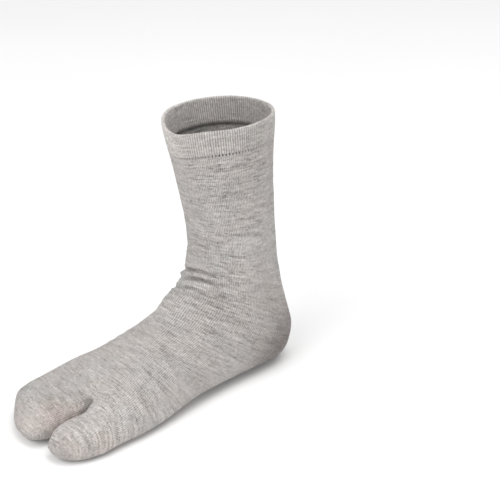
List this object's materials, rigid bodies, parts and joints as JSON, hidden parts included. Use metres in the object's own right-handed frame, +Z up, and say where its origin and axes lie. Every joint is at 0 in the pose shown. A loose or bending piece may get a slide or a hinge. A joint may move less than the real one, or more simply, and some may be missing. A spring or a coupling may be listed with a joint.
{
  "type": "tabi sock",
  "caption": "Knitted crew sock for a right foot, with a split toe, a ribbed turned-over cuff, creases at the ankle and a linked seam on each toe pocket.",
  "frame": {"origin": "on the inner face of the sole, under the axis of the ankle, where the wearer's heel and ankle sit", "axes": "+Z up out of the leg, -Y towards the toes, +X towards the big toe's side; the outer sole is one knit wall below the origin"},
  "size_m": [0.1121, 0.2598, 0.2219],
  "materials": {
    "heather_knit": "matte heather-grey plain knit",
    "welt_rib": "matte heather-grey one-by-one rib, two plies",
    "linking_yarn": "matte doubled grey yarn"
  },
  "bodies": {
    "root": {"sock_body": "heather_knit", "cuff_welt": "welt_rib", "big_toe_seam": "linking_yarn", "small_toes_seam": "linking_yarn"}
  },
  "joints": []
}
